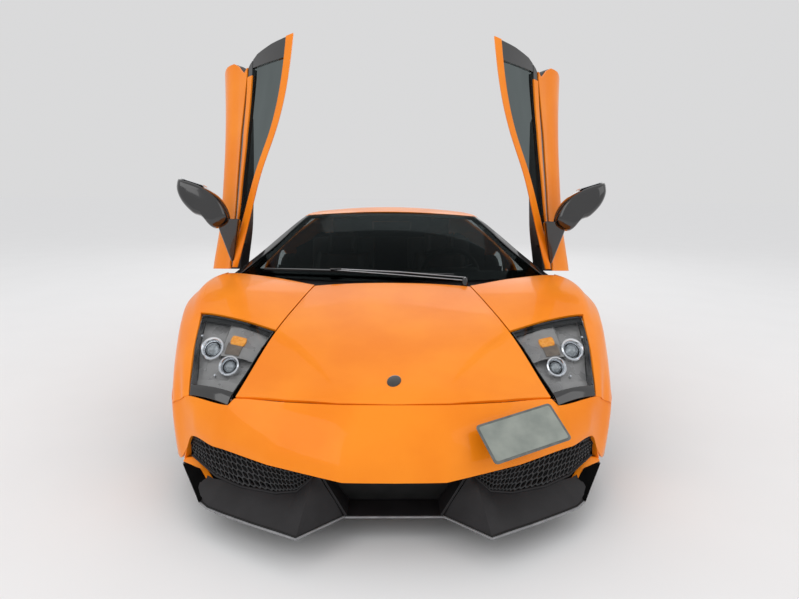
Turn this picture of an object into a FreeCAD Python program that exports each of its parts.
"""Two-seat mid-engined supercar: body panels, cabin, wheels, steering, doors and lids.

Units are millimetres. The front points to -Y, +X is the car's left, +Z is up. The origin is on
the floor, on the centre line, halfway between nose and tail. The doors stand open.
"""
import FreeCAD, Part
import math
import os

doc = FreeCAD.newDocument("supercar")
Vec = FreeCAD.Vector
X_AXIS = Vec(1, 0, 0)
Z_AXIS = Vec(0, 0, 1)

# Driving dimensions
sheet = doc.addObject("Spreadsheet::Sheet", "dimensions")
SIZES = [
    ("body_width", 2058, "over the rear wings"),
    ("wheelbase", 2665, "front axle to rear axle"),
    ("front_overhang", 1060, "nose to front axle"),
    ("rear_overhang", 980, "rear axle to tail; with the two above it makes 4705 in all"),
    ("track_front", 1635, "between front tyre centres"),
    ("track_rear", 1695, "between rear tyre centres"),
    ("tyre_front_radius", 314.3, "outside of the front tyre"),
    ("tyre_front_width", 245, "width of the front tyre"),
    ("tyre_rear_radius", 329.1, "outside of the rear tyre"),
    ("tyre_rear_width", 335, "width of the rear tyre"),
    ("rim_radius", 228.6, "bead seat of the 18 inch rims"),
    ("rim_lip", 14, "height of the rim flange over the bead seat"),
    ("rim_wall", 9, "thickness of the rim barrel"),
    ("spoke_count", 5, "spokes in a rim"),
    ("disc_radius", 185, "brake disc"),
    ("disc_thickness", 32, "brake disc"),
    ("hub_radius", 70, "hub flange"),
    ("axle_radius", 30, "stub axle and drive shaft"),
    ("running_gap", 5, "clearance round the brake disc and the knuckle"),
    ("arch_gap", 32, "space between tyre and wheel arch"),
    ("well_gap", 54, "space between front tyre and wheel well, for the steering"),
    ("kingpin_inset", 48, "steering axis inboard of the tyre centre"),
    ("seam", 0.4, "joint between fixed panels"),
    ("panel_gap", 5, "shut line round doors and lids"),
    ("skin", 14, "thickness of wings and bumpers"),
    ("lid_thickness", 16, "bonnet and engine cover"),
    ("roof_thickness", 26, "roof panel"),
    ("glass_thickness", 6, "windscreen and side glass"),
    ("door_thickness", 78, "whole door below the window"),
    ("frame_thickness", 24, "door frame round the window"),
    ("door_hinge_back", 385, "door hinge behind the front axle"),
    ("door_hinge_height", 804, "door hinge above the floor"),
    ("door_open_angle", 82, "lift of the open door, degrees"),
    ("door_reach", 1140, "radius of the rear edge of the door about its hinge"),
    ("floor_height", 115, "underside of the floor"),
    ("floor_thickness", 45, "floor panel"),
    ("plate_width", 305, "blank front plate"),
    ("plate_height", 155, "blank front plate"),
    ("plate_thickness", 3, "blank front plate"),
    ("steering_wheel_radius", 178, "steering wheel"),
    ("plate_holes", 178, "between the screw holes of the rear plate"),
    ("tow_radius", 9, "threaded hole of the rear towing eye"),
    ("jack_pad", 90, "side of the square jacking pads"),
    ("mesh_pitch", 30, "between the cells of the intake mesh"),
    ("mesh_bar", 5, "width of the bars of the intake mesh"),
    ("splitter_wall", 14, "thickness of the front splitter"),
    ("projector_radius", 46, "outer ring of the big lamp projector"),
    ("wiper_width", 12, "wiper blade"),
]
for row, (alias, value, note) in enumerate(SIZES, start=1):
    sheet.set("A%d" % row, alias)
    sheet.set("B%d" % row, str(value))
    sheet.set("C%d" % row, note)
    sheet.setAlias("B%d" % row, alias)
doc.recompute()


def size(alias):
    """Value of a driving dimension."""
    return float(sheet.get(alias))


car_length = size("front_overhang") + size("wheelbase") + size("rear_overhang")
nose_y = -car_length / 2
tail_y = car_length / 2
front_y = nose_y + size("front_overhang")
rear_y = front_y + size("wheelbase")
hinge_y = front_y + size("door_hinge_back")
hinge_z = size("door_hinge_height")
drawn_width = 2058
wide = size("body_width") / drawn_width
seam = size("seam")
gap = size("panel_gap")
skin = size("skin")
ANCHORS = {"front": front_y, "rear": rear_y, "hinge": hinge_y, "tail": tail_y}

# Body lines of the left half: anchor, distance behind it, distance from the centre line, height
LINES = {
    "bonnet_edge": [("front", -820, 616, 474), ("front", -726, 598, 498), ("front", -365, 524, 640),
                    ("front", 0, 446, 733), ("front", 199, 404, 772), ("front", 330, 380, 790)],
    "crest": [("front", -656, 789, 471), ("front", -500, 818, 590), ("front", -298, 845, 703),
              ("front", -150, 880, 762), ("front", 0, 903, 797), ("front", 180, 909, 812),
              ("hinge", 0, 903, 808), ("hinge", 330, 874, 806), ("hinge", 1130, 842, 812),
              ("rear", -700, 862, 848), ("rear", -350, 890, 876), ("rear", 0, 898, 882),
              ("rear", 350, 876, 862), ("tail", -330, 828, 830), ("tail", -70, 772, 802)],
    "shoulder": [("front", -656, 827, 438), ("front", -500, 886, 538), ("front", -298, 950, 640),
                 ("front", -150, 984, 684), ("front", 0, 1010, 704), ("front", 180, 1022, 712),
                 ("hinge", 0, 1022, 706), ("hinge", 330, 964, 726), ("hinge", 1130, 922, 738),
                 ("rear", -700, 972, 768), ("rear", -350, 1004, 778), ("rear", 0, 1012, 780),
                 ("rear", 350, 990, 768), ("tail", -330, 925, 748), ("tail", -70, 862, 728)],
    "waist": [("front", -656, 868, 400), ("front", -500, 926, 455), ("front", -298, 978, 496),
              ("front", 0, 1018, 530), ("hinge", 0, 1024, 550), ("hinge", 330, 982, 560),
              ("hinge", 1130, 972, 585), ("rear", -700, 1008, 600), ("rear", -350, 1029, 600),
              ("rear", 0, 1029, 600), ("rear", 350, 1012, 600), ("tail", -330, 965, 600),
              ("tail", -70, 905, 592)],
    "sill": [("front", -656, 862, 200), ("front", -500, 916, 175), ("front", -298, 955, 150),
             ("front", 0, 980, 130), ("hinge", 0, 985, 118), ("hinge", 330, 955, 115),
             ("hinge", 1130, 955, 115), ("rear", -700, 985, 120), ("rear", -350, 1005, 125),
             ("rear", 0, 1005, 140), ("rear", 350, 985, 190), ("tail", -330, 935, 250),
             ("tail", -70, 870, 300)],
    "rail": [("hinge", -34, 872, 806), ("hinge", 225, 783, 889), ("hinge", 512, 684, 992),
             ("hinge", 740, 580, 1086), ("hinge", 930, 530, 1104), ("hinge", 1190, 496, 1098),
             ("rear", -700, 476, 1022), ("rear", -350, 468, 948), ("rear", 0, 464, 890),
             ("rear", 350, 462, 850), ("tail", -330, 460, 818), ("tail", -70, 455, 796)],
    "centre": [("front", -820, 0, 500), ("front", -727, 0, 541), ("front", -365, 0, 655),
               ("front", 0, 0, 742), ("front", 199, 0, 786)],
    "top": [("hinge", 740, 0, 1118), ("hinge", 930, 0, 1133), ("hinge", 1075, 0, 1135),
            ("hinge", 1190, 0, 1131), ("rear", -700, 0, 1056), ("rear", -350, 0, 982),
            ("rear", 0, 0, 912), ("rear", 350, 0, 858), ("tail", -330, 0, 820),
            ("tail", -70, 0, 798)],
}


def on_line(name, y):
    """Point of a body line at y, on a smooth curve through the rows of its table."""
    rows = [(ANCHORS[anchor] + back, x * wide, z) for anchor, back, x, z in LINES[name]]
    y_in = min(max(y, rows[0][0]), rows[-1][0])
    index = 0
    while index < len(rows) - 2 and y_in > rows[index + 1][0]:
        index += 1
    start, end = rows[index], rows[index + 1]
    before = rows[max(index - 1, 0)]
    after = rows[min(index + 2, len(rows) - 1)]
    span = end[0] - start[0]
    share = (y_in - start[0]) / span
    values = []
    for column in (1, 2):
        slope_start = (end[column] - before[column]) / (end[0] - before[0])
        slope_end = (after[column] - start[column]) / (after[0] - start[0])
        values.append((2 * share ** 3 - 3 * share ** 2 + 1) * start[column]
                      + (share ** 3 - 2 * share ** 2 + share) * span * slope_start
                      + (3 * share ** 2 - 2 * share ** 3) * end[column]
                      + (share ** 3 - share ** 2) * span * slope_end)
    return Vec(values[0], y, values[1])


def at(x, y, z):
    """Point whose distance from the centre line follows the width of the body."""
    return Vec(x * wide, y, z)


def stations(start, end, count):
    """Evenly spaced places from start to end."""
    return [start + (end - start) * step / (count - 1) for step in range(count)]


def strip_section(first, last, crown, facets, thickness, trim, depth):
    """Closed section of a skin from one edge to the other, crowned outward in flat facets."""
    chord = last.sub(first)
    flat = Vec(chord.x, chord.y, 0)
    flat.normalize()
    along = Vec(chord)
    along.normalize()
    away = Vec(first.x + last.x, min(first.y + last.y - 2 * front_y, 0), 0)
    if abs(along.z) > 0.7 and flat.dot(away) < 0:
        flat = flat * -1
    level = along.dot(flat)
    outward = flat * -along.z + Z_AXIS * level
    start = first.add(along * trim[0]).sub(outward * depth)
    run = last.sub(along * trim[1]).sub(outward * depth).sub(start)
    outer = []
    for step in range(facets + 1):
        share = step / facets
        outer.append(start + run * share + outward * (crown * 4 * share * (1 - share)))
    inner = [point - outward * thickness for point in reversed(outer)]
    return Part.makePolygon(outer + inner + [outer[0]])


def strip(rows, thickness, trim=(0, 0), depth=0):
    """Skin lofted through rows of (first edge point, last edge point, crown)."""
    highest = max(crown for first, last, crown in rows)
    facets = 1 if highest < 5 else 2 if highest < 15 else 3 if highest < 25 else 4
    wires = [strip_section(first, last, crown, facets, thickness, trim, depth)
             for first, last, crown in rows]
    return Part.makeLoft(wires, True, True)


def between(first_line, last_line, places, crown, thickness, trim=(0, 0), depth=0):
    """Skin between two body lines at the given places along the car."""
    rows = [(on_line(first_line, y), on_line(last_line, y), crown) for y in places]
    return strip(rows, thickness, trim, depth)


def across(line, ridge, places, thickness, trim=(0, 0), depth=0):
    """Skin from side to side between the two halves of a line, crowned to the ridge line."""
    rows = []
    for y in places:
        edge = on_line(line, y)
        crown = on_line(ridge, y).z - edge.z
        rows.append((Vec(-edge.x, y, edge.z), edge, max(crown, 1.0)))
    return strip(rows, thickness, trim, depth)


def crowned(first, last, crown, facets):
    """Points from one edge to the other of a crowned strip, without the last one."""
    run = last.sub(first)
    crown = min(crown, run.Length * 0.08)
    outward = Vec(-run.z, 0, run.x)
    outward.normalize()
    return [first + run * (step / facets) + outward * (crown * 4 * step / facets * (1 - step / facets))
            for step in range(facets)]


def shell(rows, depths):
    """Skin lofted through upright sections, each a row of outer points, with a depth per point."""
    wires = []
    for points in rows:
        inner = []
        for index, point in enumerate(points):
            before = points[max(index - 1, 0)]
            after = points[min(index + 1, len(points) - 1)]
            along = after.sub(before)
            inward = Vec(along.z, 0, -along.x)
            inward.normalize()
            inner.append(point + inward * depths[index])
        outline = points + inner[::-1]
        wires.append(Part.makePolygon(outline + [outline[0]]))
    return Part.makeLoft(wires, True, True)


def flank(y, crowns, low):
    """Outer points of the body side at y: rail, crest, shoulder, waist, down to the low point."""
    corners = [on_line("rail", y) + Vec(gap / 2, 0, -gap / 2), on_line("crest", y),
               on_line("shoulder", y), on_line("waist", y), low]
    points = []
    for first, last, (crown, facets) in zip(corners, corners[1:], crowns):
        points += crowned(first, last, crown, facets)
    return points + [low]


def box(x0, x1, y0, y1, z0, z1):
    """Block between two corners."""
    return Part.makeBox(x1 - x0, y1 - y0, z1 - z0, Vec(x0, y0, z0))


def bar(start, end, width):
    """Square bar between two points on one level."""
    along = end.sub(start)
    turned = Part.makeBox(along.Length, width, width, Vec(0, -width / 2, -width / 2))
    turned.rotate(Vec(0, 0, 0), Z_AXIS, math.degrees(math.atan2(along.y, along.x)))
    turned.translate(start)
    return turned


def rod(start, end, radius):
    """Round bar between two points."""
    along = end.sub(start)
    return Part.makeCylinder(radius, along.Length, start, along)


def prism(points, depth):
    """Flat outline pushed along a direction."""
    return Part.Face(Part.makePolygon(points + [points[0]])).extrude(depth)


def fused(shapes):
    """One solid from touching shapes."""
    whole = shapes[0].fuse(shapes[1:]) if len(shapes) > 1 else shapes[0]
    return whole.removeSplitter()


def mirrored(shape):
    """The same shape on the other side of the centre line."""
    return shape.mirror(Vec(0, 0, 0), X_AXIS)


def add_node(name, shape, placement=None):
    """Sub-part of the car with its own label."""
    node = doc.addObject("Part::Feature", name)
    node.Label = name
    node.Shape = shape
    if placement:
        node.Placement = placement
    nodes.append(node)
    return node


def add_pair(name, left_shape, placement=None):
    """The same sub-part on the left and right."""
    add_node(name + "_left", left_shape, placement)
    add_node(name + "_right", mirrored(left_shape), placement)


nodes = []
hinge_pin = 7
bracket = 16

# Wheel openings: the skin follows the tyre closely, the well inside clears the turned front tyre
front_wheel_x = size("track_front") / 2
rear_wheel_x = size("track_rear") / 2
front_axle_z = size("tyre_front_radius")
rear_axle_z = size("tyre_rear_radius")
well_inner_x = 500
skin_inner_x = 930
rear_well_x = rear_wheel_x - size("tyre_rear_width") / 2 - size("arch_gap")
well_reach = 300
front_well_radius = front_axle_z + size("well_gap")
front_arch_radius = front_axle_z + size("arch_gap")
rear_arch_radius = rear_axle_z + size("arch_gap")


def wheel_wells(side):
    """Openings for the front and rear wheel on one side, 1 left and -1 right."""
    out = X_AXIS * side
    return [Part.makeCylinder(front_well_radius, skin_inner_x - well_inner_x,
                              Vec(side * well_inner_x, front_y, front_axle_z), out),
            Part.makeCylinder(front_arch_radius, well_reach,
                              Vec(side * skin_inner_x, front_y, front_axle_z), out),
            Part.makeCylinder(rear_arch_radius, rear_wheel_x,
                              Vec(side * rear_well_x, rear_y, rear_axle_z), out)]


left_wells = wheel_wells(1)
all_wells = left_wells + wheel_wells(-1)

# Front bumper cover: fan of upright sections from the centre to the front wheel arch.
# Columns: top x, top y, top z, lip x, lip y, lip z, crown; y is measured from the front axle.
BUMPER_FAN = [(0, -820, 500, 0, -987, 283, 22), (200, -813, 499, 180, -984, 284, 22),
              (400, -783, 497, 450, -895, 305, 18), (598, -731, 492, 640, -782, 312, 14),
              (622, -742.5, 469, 680, -762, 313, 12), (793, -655, 473, 790, -668, 313, 10),
              (835, -628, 448, 824, -633, 245, 8)]
# Columns: place on the waist line, lip x, lip y, lip z, crown
BUMPER_SIDE = [(-590, 868, -583, 180, 6), (-470, 926, -462, 162, 4), (-330, 953, -325, 150, 3)]
BONNET_FRONT = [(0, -820), (200, -813), (400, -783), (598, -731), (640, -700)]


def bumper_rows():
    """Edge points of the left half of the bumper."""
    rows = [(at(top_x, front_y + top_y, top_z), at(lip_x, front_y + lip_y, lip_z), crown)
            for top_x, top_y, top_z, lip_x, lip_y, lip_z, crown in BUMPER_FAN]
    rows += [(on_line("waist", front_y + back), at(lip_x, front_y + lip_y, lip_z), crown)
             for back, lip_x, lip_y, lip_z, crown in BUMPER_SIDE]
    return rows


def front_bumper():
    """Painted cover from the bonnet and lamps down to the lip, round to the wheel arches."""
    half = strip(bumper_rows(), skin, (seam, 0)).cut(left_wells)
    upper = bonnet_plan(0)
    upper.translate(Vec(0, 0, 430))
    return fused([half, mirrored(half)]).cut(upper)


def bonnet_plan(back):
    """Plan outline of all that lies behind the front edge of the bonnet, moved back."""
    edge = [at(x, front_y + y + back, 0) for x, y in BONNET_FRONT]
    far = at(BONNET_FRONT[-1][0], hinge_y, 0)
    left = edge + [far]
    right = [Vec(-point.x, point.y, 0) for point in reversed(left[1:])]
    return prism(left + right, Z_AXIS * 1200)


def bonnet():
    """Front lid, hinged at its rear corners in front of the windscreen."""
    places = [front_y + back for back in (-820, -770, -726, -600, -480, -365, -180, 0, 190)]
    lid = across("bonnet_edge", "centre", places, size("lid_thickness"), (gap / 2, gap / 2))
    add_node("bonnet", lid.common(bonnet_plan(gap + 1)))


bonnet_hinge_y = front_y + 178
bonnet_hinge_z = 762
cover_front_y = rear_y - 885
cover_hinge_y = cover_front_y + 8
cover_hinge_z = 1052


def trunnion(x, reach, y, z):
    """Short hinge pin on a fixed panel, pointing at the edge of a lid."""
    return rod(Vec(x, y, z), Vec(x + reach, y, z), 4)


hinge_face_x = on_line("crest", hinge_y).x - 19


def fender():
    """Front wing: top beside the bonnet, side down to the waist, and the panel behind the wheel."""
    top_rows = []
    for inner, outer in ((-365, -298), (-200, -170), (0, 0), (110, 160), (190, 330)):
        first = on_line("bonnet_edge", front_y + inner)
        last = on_line("crest", front_y + outer)
        top_rows.append((first, last, 14))
    top = strip(top_rows, skin, (gap / 2, 0))
    rear_edge = hinge_y - gap - 2
    nose = [(on_line("crest", front_y - 652), on_line("waist", front_y - 600), 3)]
    for lean, back, crown in ((28, -500, 18), (12, -400, 30), (0, -298, 40)):
        nose.append((on_line("crest", front_y + back - lean), on_line("waist", front_y + back), crown))
    places = stations(front_y - 298, rear_edge, 8)
    side = shell([flank(y, ((0, 1), (8, 2), (8, 2)), on_line("waist", y))[1:] for y in places],
                 [skin] * 5)
    lower = between("waist", "sill", stations(front_y + 160, rear_edge, 4), 6, skin)
    bracket = box(hinge_face_x - 23, hinge_face_x - seam, hinge_y - 78, hinge_y + 5, hinge_z - 14,
                  hinge_z + 4)
    edge = on_line("bonnet_edge", bonnet_hinge_y)
    pin = trunnion(edge.x - gap / 2 + 1.2, gap + 12, bonnet_hinge_y, bonnet_hinge_z)
    return fused([top, strip(nose, skin), side, lower, bracket, pin]).cut(left_wells)


# Columns: inner x, y, z and outer x, y, z of the lamp's edges; y is measured from the front axle
LAMP_ROWS = [(622, -742.5, 469, 793, -652.5, 475), (612, -716, 500, 790, -636, 505),
             (577, -600, 556, 806, -545, 556), (551, -480, 604, 826, -430, 632),
             (527, -372, 636, 839, -306, 698)]
LAMP_PLACES = [0, 0.12, 0.42, 0.72, 1]
lamp_crown = 8
# Columns: share across the lamp, share along it, size against the big projector
PROJECTORS = [(0.755, 0.60, 1.0), (0.40, 0.40, 0.8)]


def lamp_row(share):
    """Edge points of the lamp at a share of its length from the front."""
    index = 0
    while index < len(LAMP_ROWS) - 2 and share > LAMP_PLACES[index + 1]:
        index += 1
    part = (share - LAMP_PLACES[index]) / (LAMP_PLACES[index + 1] - LAMP_PLACES[index])
    row = [a + (b - a) * part for a, b in zip(LAMP_ROWS[index], LAMP_ROWS[index + 1])]
    return at(row[0], front_y + row[1], row[2]), at(row[3], front_y + row[4], row[5]), lamp_crown


def lamp_spot(across_share, along_share, depth):
    """Point inside the lamp, below its cover."""
    inner, outer, crown = lamp_row(along_share)
    rise = crown * 4 * across_share * (1 - across_share) - depth
    return inner + outer.sub(inner) * across_share + Vec(0, -0.53, 0.85) * rise


def projector(place, radius):
    """Ringed projector with a domed lens, turned about its axis."""
    profile = [Vec(0, 0, -62), Vec(radius, 0, -62), Vec(radius, 0, 4), Vec(radius * 0.9, 0, 9),
               Vec(radius * 0.7, 0, -8), Vec(radius * 0.55, 0, -14), Vec(radius * 0.5, 0, -8),
               Vec(radius * 0.3, 0, 2), Vec(0, 0, 5)]
    turned = Part.Face(Part.makePolygon(profile + [profile[0]])).revolve(Vec(0, 0, 0), Z_AXIS, 360)
    turned.Placement = FreeCAD.Placement(place, FreeCAD.Rotation(Z_AXIS, Vec(0.1, -0.72, 0.55)))
    return turned


def headlamp():
    """Lamp tray between bonnet and wing with two projectors and an indicator, under a lens."""
    rows = [lamp_row(share) for share in LAMP_PLACES]
    lens = strip(rows, 5, (gap, gap), 1)
    tray = strip(rows, 70, (gap, gap), 6 + seam)
    room = strip([lamp_row(share) for share in (0.13, 0.42, 0.72, 0.97)], 58,
                 (gap + 8, gap + 8), 5)
    inside = [projector(lamp_spot(across_share, along_share, 36), size("projector_radius") * scale)
              for across_share, along_share, scale in PROJECTORS]
    indicator = []
    for along_share in (0.79, 0.93):
        indicator.append((lamp_spot(0.27, along_share, 14), lamp_spot(0.50, along_share, 14), 0))
    inside.append(strip(indicator, 50))
    return fused([tray.cut(room)] + [piece.common(strip(rows, 70, (gap, gap), 6 + seam))
                                     for piece in inside]), lens


# Columns: edge x, edge y, edge z, centre y, centre z; y is measured from the door hinge
SCREEN = ((822, -55, 810, -165, 789), (712, 335, 926, 255, 976), (556, 730, 1092, 716, 1116))


def cabin_glass():
    """Curved windscreen between the bonnet, the pillars and the roof."""
    wires = []
    thick = size("glass_thickness")
    slope = Vec(0, SCREEN[2][3] - SCREEN[0][3], SCREEN[2][4] - SCREEN[0][4])
    slope.normalize()
    normal = Vec(0, -slope.z, slope.y)
    for edge_x, edge_y, edge_z, centre_y, centre_z in SCREEN:
        left = at(edge_x, hinge_y + edge_y, edge_z)
        right = at(-edge_x, hinge_y + edge_y, edge_z)
        middle = Vec(0, hinge_y + centre_y, centre_z)
        inward = Vec(0, edge_y - centre_y, edge_z - centre_z)
        inward.normalize()
        inward.multiply(thick / abs(inward.dot(normal)))
        wires.append(Part.Wire([Part.Arc(left, middle, right).toShape(),
                                Part.makeLine(right, right.add(inward)),
                                Part.Arc(right.add(inward), middle.add(inward),
                                         left.add(inward)).toShape(),
                                Part.makeLine(left.add(inward), left)]))
    return Part.makeLoft(wires, True, True)


def screen_spot(x, share, lift):
    """Point over the lower half of the windscreen, share up from its foot."""
    low, high = SCREEN[0], SCREEN[1]
    edge_x, edge_y, edge_z, centre_y, centre_z = [a + (b - a) * share for a, b in zip(low, high)]
    bend = (x / edge_x) ** 2
    return at(x, hinge_y + centre_y + (edge_y - centre_y) * bend - lift * 0.4,
              centre_z + (edge_z - centre_z) * bend + lift)


def wiper():
    """Single wiper: pivot on the cowl, arm and long blade lying at the foot of the windscreen."""
    width = size("wiper_width")
    tips = [screen_spot(x, share, width * 0.6)
            for x, share in ((-700, 0.13), (-503, 0.15), (-306, 0.155), (0, 0.13), (330, 0.08))]
    blade = [rod(first, last, width / 2) for first, last in zip(tips, tips[1:])]
    knees = [Part.makeSphere(width / 2, place) for place in tips[1:-1]]
    pivot = screen_spot(383, -0.03, 30)
    holder = tips[2]
    arm = rod(pivot, holder + Vec(0, 0, width), width / 2)
    boss = rod(pivot + Vec(0, 0, -50), pivot + Vec(0, 0, 10), 17)
    clip = rod(holder, holder + Vec(0, 0, width + 2), 9)
    return fused(blade + knees + [arm, boss, clip])


def roof():
    """Roof panel with the windscreen pillars."""
    places = stations(hinge_y + 732, rear_y - 925, 7)
    panel = across("rail", "top", places, size("roof_thickness"), (gap / 2, gap / 2))
    rows = []
    for share in (0.17, 0.4, 0.7, 1.0):
        y = hinge_y + SCREEN[0][1] + share * (SCREEN[2][1] + 8 - SCREEN[0][1])
        rail = on_line("rail", y)
        rows.append((Vec(rail.x - 32, y, rail.z + 2), Vec(rail.x - gap / 2, y, rail.z), 0))
    pillar = strip(rows, 18)
    return fused([panel, pillar, mirrored(pillar)])


def door_line(y, height):
    """Point at a height on the side of the body between the waist and the sill."""
    high = on_line("waist", y)
    low = on_line("sill", y)
    return high.add((low.sub(high)) * ((high.z - height) / (high.z - low.z)))


sill_top = 222
door_lean = 50 / 290
rail_strip = 50
belt_share = 0.25


def door_side(reach):
    """Room behind the shut line of the door: an arc about the hinge, leaning back over the belt."""
    low = Part.makeCylinder(reach, 1100, Vec(200, hinge_y, hinge_z), X_AXIS)
    low = low.cut(box(100, 1400, hinge_y - reach - 10, hinge_y + reach + 10, hinge_z, 2200))
    high = prism([Vec(200, hinge_y - reach, hinge_z), Vec(200, hinge_y + reach, hinge_z),
                  Vec(200, hinge_y + reach + 600 * door_lean, hinge_z + 600),
                  Vec(200, hinge_y - reach, hinge_z + 600)], Vec(1100, 0, 0))
    return low.fuse(high)


def window_rows(places, edge):
    """Upper and lower edge of the door window at the given places."""
    rows = []
    for y in places:
        rail, crest = on_line("rail", y), on_line("crest", y)
        chord = crest.sub(rail)
        along = Vec(chord)
        along.normalize()
        rows.append((rail + along * (rail_strip + edge), crest - chord * belt_share - along * edge, 8))
    return rows


def mirror_head(place):
    """Wing-shaped mirror housing swept back to its tip, from level outlines."""
    # Columns: distance out and back of the outline's corners from the inner front corner
    plan = [(0, 0), (63, 45), (178, 128), (268, 162), (255, 262), (150, 215), (36, 178), (-8, 110)]
    levels = []
    for rise, share in ((0, 0.8), (26, 1.0), (84, 1.0), (112, 0.82)):
        points = [Vec(place.x + 120 + (out - 120) * share, place.y + 130 + (back - 130) * share,
                      place.z + rise) for out, back in plan]
        levels.append(Part.makePolygon(points + [points[0]]))
    return Part.makeLoft(levels, True, True)


def door(reach):
    """Door panel with its window frame, glass and mirror, built closed and turned open."""
    thick = size("door_thickness")
    frame = size("frame_thickness")
    places = [hinge_y + 22] + stations(hinge_y + 120, hinge_y + reach + 70, 6)
    crowns = ((12, 2), (5, 2), (8, 2), (5, 2))
    rows = [flank(y, crowns, door_line(y, sill_top + gap)) for y in places]
    panel = shell(rows, [frame, frame, frame + 10, frame + 20] + [thick] * 5)
    inner_places = [hinge_y + 220] + places[2:-2] + [hinge_y + reach - 60]
    hole = strip(window_rows(inner_places, 0), frame + 40, (0, 0), -20)
    pane = strip(window_rows(inner_places, seam), size("glass_thickness"), (0, 0), 8)
    lug = fused([rod(Vec(hinge_face_x, hinge_y, hinge_z - 1),
                     Vec(hinge_face_x + 26, hinge_y, hinge_z - 1), 5),
                 box(hinge_face_x + 4, hinge_face_x + 16, hinge_y - 4, hinge_y + 60, hinge_z - 9,
                     hinge_z)])
    bracket_room = Part.makeCylinder(20, 60, Vec(hinge_face_x - 60 + seam, hinge_y, hinge_z), X_AXIS)
    edges = [on_line("rail", y) for y in stations(hinge_y - 30, hinge_y + reach + 80, 12)]
    inside = [Vec(0, edges[0].y, 300)] + [Vec(e.x + gap / 2, e.y, 300) for e in edges]
    inside.append(Vec(0, edges[-1].y, 300))
    roof_room = prism(inside, Z_AXIS * 1000)
    panel = panel.cut(hole).common(door_side(reach)).cut([bracket_room, roof_room])
    panel = fused([panel, lug])
    pane = pane.common(box(0, 1000, inner_places[0] + seam, inner_places[-1] - seam, 700, 1200))
    head = mirror_head(Vec(hinge_face_x + 36, hinge_y + 240, 876))
    foot = [Vec(hinge_face_x + x, hinge_y + y, 788) for x, y in ((-14, 70), (32, 78), (34, 210), (-14, 200))]
    neck = [Vec(hinge_face_x + x, hinge_y + y, 892) for x, y in ((26, 262), (62, 286), (66, 350), (30, 340))]
    arm = Part.makeLoft([Part.makePolygon(foot + [foot[0]]), Part.makePolygon(neck + [neck[0]])],
                        True, True)
    mirror = fused([head, arm]).cut(panel)
    mirror = max(mirror.Solids, key=lambda solid: solid.Volume)
    opening = FreeCAD.Placement(Vec(0, 0, 0), FreeCAD.Rotation(X_AXIS, size("door_open_angle")),
                                Vec(0, hinge_y, hinge_z))
    add_pair("door", panel, opening)
    add_pair("door_glass", pane, opening)
    add_pair("mirror", mirror, opening)


def side_sills():
    """Skirts under the doors."""
    places = stations(hinge_y - gap - 2 + seam, hinge_y + size("door_reach") - 150, 5)
    rows = [(door_line(y, sill_top), on_line("sill", y), 2) for y in places]
    left = strip(rows, 120)
    return left.cut(left_wells)


def rear_quarter():
    """Rear wing from the door to the tail, with the side intake."""
    start = hinge_y + size("door_reach") - 150 + seam
    end = tail_y - 75
    places = stations(start, end, 10)
    crowns = ((10, 2), (6, 2), (10, 2), (10, 2))
    panel = shell([flank(y, crowns, on_line("sill", y)) for y in places], [skin] * 9)
    intake = box(940 * wide, 1100 * wide, start + 240, rear_y - 430, 330, 590)
    swing = door_side(size("door_reach") + gap).cut(box(100, 1400, hinge_y, hinge_y + 1400, 0, sill_top))
    edges = [on_line("rail", y) for y in stations(cover_front_y - 20, tail_y - 75, 8)]
    inside = [Vec(0, edges[0].y, 600)] + [Vec(e.x + gap / 2, e.y, 600) for e in edges]
    inside.append(Vec(0, edges[-1].y, 600))
    edge = on_line("rail", cover_hinge_y)
    pin = trunnion(edge.x - gap / 2 + 0.8, gap + 6, cover_hinge_y, cover_hinge_z)
    room = left_wells + [intake, swing, prism(inside, Z_AXIS * 800)]
    return fused([panel.cut(room), pin])


def engine_cover():
    """Rear lid over the engine with three stepped slats, hinged behind the roof."""
    places = stations(cover_front_y, rear_y + 380, 9)
    lid = across("rail", "top", places, size("lid_thickness"), (gap / 2, gap / 2))
    half = 330 * wide
    hole = box(-half, half, rear_y - 760, rear_y + 120, 700, 1200)
    slats = []
    for y in (rear_y - 640, rear_y - 360, rear_y - 80):
        height = on_line("top", y).z
        slats.append(prism([Vec(-half, y - 120, height + 6), Vec(-half, y + 90, height - 40),
                            Vec(-half, y + 90, height - 54), Vec(-half, y - 120, height - 8)],
                           Vec(2 * half, 0, 0)))
    add_node("engine_cover", fused([lid.cut(hole)] + slats))


def fascia_vents(fascia_y):
    """Six slots on each side through which the engine bay breathes."""
    vents = []
    for side in (-1, 1):
        for row in range(2):
            for column in range(3):
                x = side * (300 + 185 * column) * wide
                vents.append(box(x - 75 * wide, x + 75 * wide, fascia_y - 1, fascia_y + 40,
                                 740 - 270 * row - 25, 740 - 270 * row + 10))
    return vents


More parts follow.
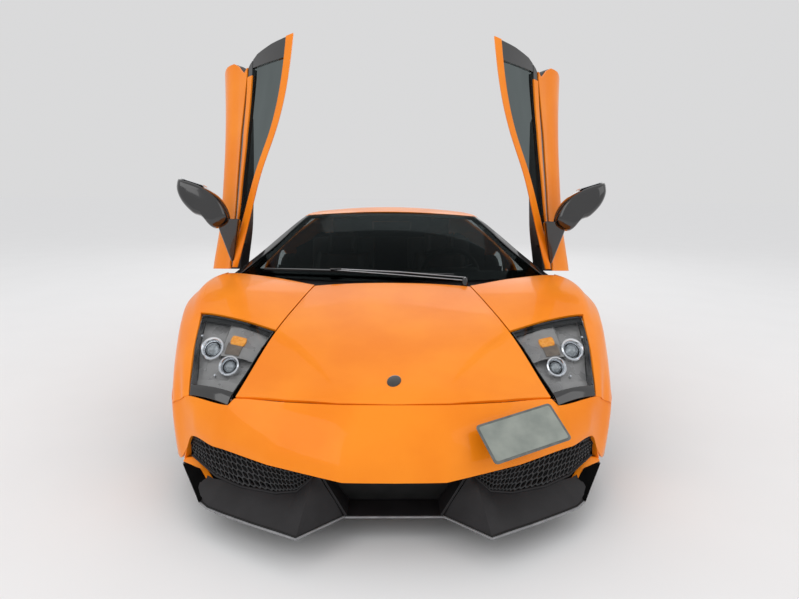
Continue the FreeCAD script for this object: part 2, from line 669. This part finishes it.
def tail(quarters):
    """Rear deck, mesh fascia, lamps, diffuser, exhaust and spoiler."""
    deck = across("rail", "top", stations(rear_y + 380 + gap, tail_y - 75, 4), skin,
                  (gap / 2 + seam, gap / 2 + seam))
    add_node("rear_deck", deck)
    fascia_y = tail_y - 75 + seam
    right = [at(x, fascia_y, z) for x, z in ((862, 300), (905, 592), (858, 728), (770, 800),
                                             (455, 790))]
    outline = right + [Vec(-point.x, point.y, point.z) for point in reversed(right)]
    pipe_z = 330
    pipe = rod(Vec(0, fascia_y - 260, pipe_z), Vec(0, tail_y - 6, pipe_z), 70)
    bore = rod(Vec(0, fascia_y - 100, pipe_z), Vec(0, tail_y, pipe_z), 62)
    slot = rod(Vec(0, fascia_y - 400, pipe_z), Vec(0, tail_y, pipe_z), 70 + seam)
    fascia = prism(outline, Vec(0, 30, 0)).cut([slot] + fascia_vents(fascia_y))
    for x in (-size("plate_holes") / 2, size("plate_holes") / 2):
        fascia = fascia.cut(rod(Vec(x, fascia_y + 12, 560), Vec(x, tail_y, 560), 3))
    fascia = fascia.cut(rod(Vec(-330, fascia_y, 420), Vec(-330, tail_y, 420), size("tow_radius")))
    add_node("rear_fascia", fascia)
    add_node("exhaust", pipe.cut(bore))
    lamps = []
    for side in (-1, 1):
        x0, x1 = sorted((side * 560 * wide, side * 850 * wide))
        lamps.append(box(x0, x1, fascia_y + 30 + seam, fascia_y + 52, 610, 700))
    add_node("tail_lamps", Part.makeCompound(lamps))
    edge = -700 * wide
    base = prism([Vec(edge, tail_y - 560, 160), Vec(edge, tail_y, 285), Vec(edge, tail_y, 299),
                  Vec(edge, fascia_y, 299), Vec(edge, tail_y - 560, 175)], Vec(-2 * edge, 0, 0))
    fins = [prism([at(x, tail_y - 500, 180), at(x, tail_y, 290), at(x, tail_y, 190),
                   at(x, tail_y - 500, 150)], Vec(10, 0, 0)) for x in (-460, -230, 220, 450)]
    add_node("rear_diffuser", fused([base] + fins).cut(slot))
    spoiler = prism([Vec(edge, tail_y - 200, 802), Vec(edge, tail_y - 200, 816),
                     Vec(edge, tail_y, 858), Vec(edge, tail_y, 844), Vec(edge, tail_y - 40, 802)],
                    Vec(-2 * edge, 0, 0))
    add_node("rear_spoiler", spoiler.cut(quarters + [deck, fascia]))


# Columns: top x, y, z and lower edge x, y, z of the splitter's face, from the centre fin
# outward; y is measured from the front axle
BLADE = [(266, -903, 266, 175, -907, 112), (290, -905, 260, 329, -1060, 121),
         (345, -907, 214, 392, -1024, 119), (424, -889, 197, 491, -969, 115),
         (560, -822, 190, 613, -895, 110), (640, -769, 186, 686, -850, 109),
         (692, -737, 172, 724, -811, 111), (748, -685, 168, 768, -742, 126),
         (800, -637, 174, 812, -673, 148), (848, -597, 176, 852, -607, 168)]
tray_low = 98
tray_high = 112
crossbar_front = front_y - 790
rail_bottom = 300


def splitter(cover):
    """Satin front splitter: two pointed blades, a floor and the slanted fins at the centre."""
    back = Vec(0, size("splitter_wall"), 0)
    wires = []
    for top_x, top_y, top_z, edge_x, edge_y, edge_z in BLADE:
        top = at(top_x, front_y + top_y, top_z)
        edge = at(edge_x, front_y + edge_y, edge_z)
        wires.append(Part.makePolygon([top, edge, edge + back, top + back, top]))
    left = Part.makeLoft(wires, True, True)
    plan = [at(0, front_y - 800, 0), at(0, front_y - 893, 0)]
    plan += [at(edge_x, front_y + edge_y + 6, 0) for x, y, z, edge_x, edge_y, edge_z in BLADE[:8]]
    plan += [at(800, front_y - 660, 0), at(800, front_y - 345, 0), at(0, front_y - 345, 0)]
    floor = prism(plan[1:], Z_AXIS * (tray_high - tray_low))
    floor.translate(Z_AXIS * tray_low)
    lip = prism([at(0, front_y - 907, tray_high - 12), at(176, front_y - 907, tray_high - 12),
                 at(176, front_y - 893, tray_high - 12), at(0, front_y - 893, tray_high - 12)],
                Z_AXIS * 16)
    fin = prism([at(172, front_y - 905, 106), at(184, front_y - 905, 106),
                 at(266, front_y - 948, 292), at(254, front_y - 948, 292)], Vec(0, 160, 0))
    stay = box(306, 326, crossbar_front, crossbar_front + 30, tray_high, rail_bottom - seam)
    half = fused([left, floor, lip, fin, stay]).cut(left_wells)
    whole = fused([half, mirrored(half)]).cut(cover)
    add_node("front_splitter", whole)
    return whole


# Columns: low x, y, z and high x, y, z of the intake's mesh, from its inner end outward
INTAKE = [(286, -890, 262, 300, -893, 290), (345, -896, 216, 400, -866, 297),
          (424, -876, 200, 520, -805, 306), (560, -810, 194, 650, -722, 309),
          (672, -735, 190, 785, -645, 309)]


def height_at(x, points):
    """Height at x along a row of (x, z) points."""
    for (x0, z0), (x1, z1) in zip(points, points[1:]):
        if x0 <= x <= x1:
            return z0 + (z1 - z0) * (x - x0) / (x1 - x0)
    return None


def mesh_cells(low, high):
    """Six-sided cells that fit between the low and the high edge of the mesh."""
    pitch = size("mesh_pitch")
    radius = (pitch - size("mesh_bar")) / math.sqrt(3)
    rim = size("mesh_bar")
    cells = []
    for row in range(12):
        for column in range(30):
            x = low[0][0] + (column + 0.5 * (row % 2)) * pitch
            z = 190 + row * pitch * math.sqrt(3) / 2
            corners = [(x + radius * math.sin(math.radians(turn)),
                        z + radius * math.cos(math.radians(turn))) for turn in range(0, 360, 60)]
            fits = True
            for corner_x, corner_z in corners:
                floor, top = height_at(corner_x, low), height_at(corner_x, high)
                if floor is None or top is None or not floor + rim < corner_z < top - rim:
                    fits = False
            if fits:
                cells.append(prism([Vec(cx, front_y - 960, cz) for cx, cz in corners],
                                   Vec(0, 400, 0)))
    return cells


def grilles(carriers):
    """Honeycomb mesh in the two front intakes and the dark panel between them."""
    wires = []
    for low_x, low_y, low_z, high_x, high_y, high_z in INTAKE:
        ends = [at(high_x, front_y + high_y, high_z), at(low_x, front_y + low_y, low_z)]
        back = [spot.add(Vec(0, 8, 0)) for spot in reversed(ends)]
        wires.append(Part.makePolygon(ends + back + ends[:1]))
    low = [(low_x * wide, low_z) for low_x, y, low_z, x, h, z in INTAKE]
    low.append((INTAKE[-1][3] * wide, INTAKE[-1][5]))
    high = [(INTAKE[0][0] * wide, INTAKE[0][2])] + [(x * wide, z) for a, b, c, x, h, z in INTAKE]
    left = Part.makeLoft(wires, True, True).cut(carriers)
    left = max(left.Solids, key=lambda solid: solid.Volume).cut(mesh_cells(low, high))
    centre = prism([at(-235, front_y - 850, 284), at(-168, front_y - 815, tray_high + seam),
                    at(168, front_y - 815, tray_high + seam), at(235, front_y - 850, 284)],
                   Vec(0, 10, 0))
    add_node("front_grilles", Part.makeCompound([left, mirrored(left), centre.cut(carriers)]))


def chassis(obstacles):
    """Cabin tub of floor, tunnel and bulkheads, and the front and rear frame rails."""
    low = size("floor_height")
    top = low + size("floor_thickness")
    floor_rear = rear_y - 760
    bulkhead_y = rear_y - 935
    firewall_y = hinge_y - 15
    right = [at(x, bulkhead_y, z) for x, z in ((700, top + seam), (740, 560), (740, 810), (560, 900))]
    upper = right + [Vec(-point.x, point.y, point.z) for point in reversed(right)]
    floor_x = [width * wide for width in (840, 470, 600)]
    tub = [box(-floor_x[0], floor_x[0], hinge_y - 40, floor_rear, low, top),
           box(-floor_x[1], floor_x[1], front_y - 330, hinge_y - 40 - seam, low, top),
           box(-floor_x[2], floor_x[2], floor_rear + seam, rear_y + 400, low, top),
           box(-110, 110, hinge_y + seam, bulkhead_y - seam, top + seam, 380),
           box(-700 * wide, 700 * wide, firewall_y, hinge_y, top + seam, 730),
           prism(upper, Vec(0, 25, 0))]
    half_pad = size("jack_pad") / 2
    for y in (hinge_y + 200, rear_y - 900):
        for x in (-640, 640):
            tub.append(box(x - half_pad, x + half_pad, y - half_pad, y + half_pad, low - 10 - seam,
                           low - seam))
    pieces = []
    for solid in tub:
        for obstacle in obstacles:
            solid = solid.cut(obstacle)
        pieces.append(solid)
    add_node("cabin_tub", Part.makeCompound(pieces))
    # Columns: inner x, outer x, front y, rear y, bottom z, top z of each bar on the left side
    rails = [(380, 450, crossbar_front + 45 + seam, firewall_y - seam, rail_bottom, 400),
             (380, 450 - seam, front_y - 74, front_y + 74, top + seam, rail_bottom - seam),
             (380, 450 - seam, front_y - 74, front_y + 74, 400 + seam, 452),
             (380, 450, hinge_y - 100, hinge_y - 60, top + seam, rail_bottom - seam),
             (420, 490, bulkhead_y + 25 + seam, tail_y - 120, 400, 480),
             (420, 490, rear_y - 850, rear_y - 800, top + seam, 400 - seam),
             (420, 490, rear_y + 340, rear_y + 390, top + seam, 400 - seam)]
    bars = [box(-450, 450, crossbar_front, crossbar_front + 45, rail_bottom, 400)]
    for x0, x1, y0, y1, z0, z1 in rails:
        bars += [box(x0, x1, y0, y1, z0, z1), box(-x1, -x0, y0, y1, z0, z1)]
    add_node("frame_rails", Part.makeCompound(bars))


def rear_window():
    """Upright glass between the roof and the rear bulkhead."""
    half = 450 * wide
    return box(-half, half, rear_y - 932, rear_y - 926, 900 + seam, 1040)


def ring_of(radius, half, centre, axis):
    """Ring with a six-sided section about an axis through its centre."""
    corners = [Vec(radius + half * math.cos(math.radians(turn)), 0,
                   half * math.sin(math.radians(turn))) for turn in range(0, 360, 60)]
    section = Part.Face(Part.makePolygon(corners + [corners[0]]))
    ring = section.revolve(Vec(0, 0, 0), Z_AXIS, 360)
    ring.Placement = FreeCAD.Placement(centre, FreeCAD.Rotation(Z_AXIS, axis))
    return ring


def interior():
    """Seats, dashboard and steering wheel."""
    seat_x = 360
    base = size("floor_height") + size("floor_thickness") + seam
    profile = [Vec(0, hinge_y + 560, base), Vec(0, hinge_y + 560, 330), Vec(0, hinge_y + 960, 270),
               Vec(0, hinge_y + 1130, 640), Vec(0, hinge_y + 1190, 930), Vec(0, hinge_y + 1270, 930),
               Vec(0, hinge_y + 1240, 640), Vec(0, hinge_y + 1150, base)]
    seat = prism(profile, Vec(480, 0, 0))
    seat.translate(Vec(seat_x - 240, 0, 0))
    add_node("seats", Part.makeCompound([seat, mirrored(seat)]))
    half = 690 * wide
    dash = prism([Vec(-half, hinge_y + seam, 480), Vec(-half, hinge_y + seam, 745),
                  Vec(-half, hinge_y + 230, 800), Vec(-half, hinge_y + 290, 740),
                  Vec(-half, hinge_y + 240, 480)], Vec(2 * half, 0, 0))
    radius = size("steering_wheel_radius")
    tilt = math.radians(24)
    centre = Vec(seat_x, hinge_y + 400, 745)
    axis = Vec(0, math.cos(tilt), math.sin(tilt))
    ring = ring_of(radius, 14, centre, axis)
    column = rod(centre.sub(axis * 150), centre, 26)
    spokes = [rod(centre, centre.add(Vec(side * (radius - 4), 0, 0)), 12) for side in (-1, 1)]
    add_node("dashboard", dash.cut(rod(centre.sub(axis * (150 + seam)), centre, 26 + seam)))
    add_node("steering_wheel", fused([ring, column] + spokes))


def engine():
    """Engine and gearbox as one plain block."""
    block = doc.addObject("Part::Box", "engine")
    block.Label = "engine"
    block.Length = 600
    block.Width = 1150
    block.Height = 520
    block.Placement.Base = Vec(-300, rear_y - 800, size("floor_height") + size("floor_thickness"))
    nodes.append(block)


def wheel(corner, side, axle_y, radius, width, wheel_x):
    """Tyre and rim of one corner, the rim fused with hub and brake disc."""
    bead = size("rim_radius")
    start = Vec(side * (wheel_x - width / 2), axle_y, radius)
    out = X_AXIS * side
    tyre = Part.makeCylinder(radius, width, start, out)
    tyre = tyre.makeChamfer(24, [tyre.Edges[0], tyre.Edges[2]])
    tyre = tyre.cut(Part.makeCylinder(bead, width, start, out))
    add_node("tyre_" + corner, tyre)
    bore = bead - size("rim_wall")
    barrel = Part.makeCylinder(bead, width, start, out).cut(
        Part.makeCylinder(bore, width, start, out))
    centre = Vec(side * wheel_x, axle_y, radius)
    face = Vec(side * (wheel_x + 40), axle_y, radius)
    hub = Part.makeCylinder(size("hub_radius"), 30, face, out)
    parts = [barrel, hub]
    for index in range(int(size("spoke_count"))):
        angle = 360.0 / size("spoke_count") * index + 90
        for lean in (-1, 1):
            foot = size("hub_radius") - 15
            spoke = prism([Vec(0, lean * 2, foot), Vec(0, lean * 34, foot),
                           Vec(0, lean * 74, bore - 4), Vec(0, lean * 52, bore + 3)], Vec(26, 0, 0))
            spoke.rotate(Vec(0, 0, 0), X_AXIS, angle)
            spoke.translate(Vec(side * (wheel_x + 56) - 13, axle_y, radius))
            parts.append(spoke)
    disc_start = Vec(side * (wheel_x - 22), axle_y, radius)
    parts.append(Part.makeCylinder(size("disc_radius"), size("disc_thickness"), disc_start, out))
    parts.append(Part.makeCylinder(size("hub_radius"), 62, disc_start, out))
    rim = fused(parts)
    axle = size("axle_radius")
    rim = rim.cut(Part.makeCylinder(axle + 0.1, 80, disc_start, out))
    add_node("rim_" + corner, rim)


def upright(side, axle_y, radius, wheel_x):
    """Wheel carrier with its stub axle and brake caliper."""
    inner = side * (wheel_x - 22 - size("running_gap"))
    x0, x1 = sorted((inner, inner - side * 45))
    block = box(x0, x1, axle_y - 45, axle_y + 45, radius - 115, radius + 115)
    stub = Part.makeCylinder(size("axle_radius"), 80 + size("running_gap") - 5,
                             Vec(inner, axle_y, radius), X_AXIS * side)
    disc = size("disc_radius")
    run = size("running_gap")
    c0, c1 = sorted((inner, inner + side * (size("disc_thickness") + 2 * run + 12)))
    caliper = box(c0, c1, axle_y + 110, axle_y + 215, radius - 60, radius + 90)
    limit = Part.makeCylinder(size("rim_radius") - size("rim_wall") - run, 200,
                              Vec(inner - side * 60, axle_y, radius), X_AXIS * side)
    slot = Part.makeCylinder(disc + run, size("disc_thickness") + 2 * run,
                             Vec(inner, axle_y, radius), X_AXIS * side)
    arm = box(x0, x1, axle_y, axle_y + 210, radius - 40, radius + 40)
    whole = fused([block, arm.common(limit), caliper.common(limit).cut(slot)])
    return fused([whole, stub])


def arms(side, axle_y, ball_x, root_x, radius, spread):
    """Upper and lower wishbones of one wheel."""
    parts = []
    for height, level in ((radius + 115 + seam, 1), (radius - 115 - seam, -1)):
        eye = Part.makeCylinder(20, 14, Vec(side * ball_x, axle_y, height), Z_AXIS * level)
        z = height + 7 * level
        legs = [bar(Vec(side * ball_x, axle_y, z), Vec(side * root_x, axle_y + lean, z), 12)
                for lean in (-spread, spread)]
        tie = box(*sorted((side * root_x, side * (root_x - 20))), axle_y - spread - 12,
                  axle_y + spread + 12, z - 10, z + 10)
        parts.append(fused([eye, tie] + legs))
    return parts


def running_gear():
    """Wheels, uprights and wishbones at the four corners."""
    front = (front_y, size("tyre_front_radius"), size("tyre_front_width"), front_wheel_x)
    rear = (rear_y, size("tyre_rear_radius"), size("tyre_rear_width"), rear_wheel_x)
    for name, side in (("left", 1), ("right", -1)):
        for end, (axle_y, radius, width, wheel_x) in (("front", front), ("rear", rear)):
            wheel(end + "_" + name, side, axle_y, radius, width, wheel_x)
    kingpin = front_wheel_x - size("kingpin_inset")
    for name, side in (("left", 1), ("right", -1)):
        add_node("knuckle_" + name, upright(side, front_y, front[1], front_wheel_x))
    links = []
    for side in (1, -1):
        links += arms(side, front_y, kingpin, 470, front[1], 60)
    uprights = [upright(side, rear_y, rear[1], rear_wheel_x) for side in (1, -1)]
    add_node("rear_uprights", Part.makeCompound(uprights))
    for side in (1, -1):
        links += arms(side, rear_y, rear_wheel_x - 48, 510, rear[1], 90)
    add_node("wishbones", Part.makeCompound(links))


def front_plate(carriers):
    """Blank plate laid on the left half of the bumper on two small pads."""
    along = Vec(0.934, 0.321, 0.158)
    up = Vec(-0.351, 0.739, 0.574)
    face = along.cross(up)
    turn = FreeCAD.Rotation(along, up, face, "XYZ")
    width = size("plate_width")
    height = size("plate_height")
    plate = Part.makeBox(width, height, size("plate_thickness"), Vec(-width / 2, -height / 2, 0))
    plate.Placement = FreeCAD.Placement(at(450, front_y - 919.5, 437.7), turn)
    pad = Part.makeBox(60, 30, 90, Vec(-30, height / 2 - 60, -90))
    pad.Placement = plate.Placement
    whole = fused([plate, pad.cut(carriers)])
    add_node("front_plate", max(whole.Solids, key=lambda solid: solid.Volume))


wing = fender()
both_wings = [wing, mirrored(wing)]
cover = front_bumper().cut(both_wings)
lamp_tray, lens = headlamp()
lamp_tray = lamp_tray.cut([wing, cover])
lens = lens.cut([wing, cover])
add_node("front_bumper", cover)
add_pair("front_fender", wing)
add_node("headlamps", Part.makeCompound([lamp_tray, mirrored(lamp_tray)]))
add_node("headlamp_lenses", Part.makeCompound([lens, mirrored(lens)]))
bonnet()
glass = cabin_glass()
add_node("cabin_glass", Part.makeCompound([glass, rear_window()]))
add_node("wiper", wiper().cut(glass))
quarter = rear_quarter()
both_quarters = [quarter, mirrored(quarter)]
roof_panel = roof().cut(both_quarters + both_wings + [glass])
add_node("roof", roof_panel)
add_pair("rear_quarter", quarter)
door(size("door_reach"))
sill = side_sills()
both_sills = [sill, mirrored(sill)]
add_node("side_sills", Part.makeCompound(both_sills))
engine_cover()
tail(both_quarters)
blade = splitter(cover)
grilles([cover, blade])
engine()
interior()
chassis(all_wells + both_quarters + both_sills + both_wings + [roof_panel])
running_gear()
front_plate([cover, both_wings[0]])

doc.recompute()
for item in doc.Objects:
    if "Invalid" in item.State or "Error" in item.State:
        raise RuntimeError(item.Name + " failed to build")
os.makedirs("parts", exist_ok=True)
for node in nodes:
    if node.Shape.isNull() or not node.Shape.isValid():
        raise RuntimeError(node.Label + " has no valid shape")
    node.Shape.exportStep("parts/" + node.Label + ".step")
    print(node.Label, len(node.Shape.Solids), round(node.Shape.Volume / 1e6, 2))
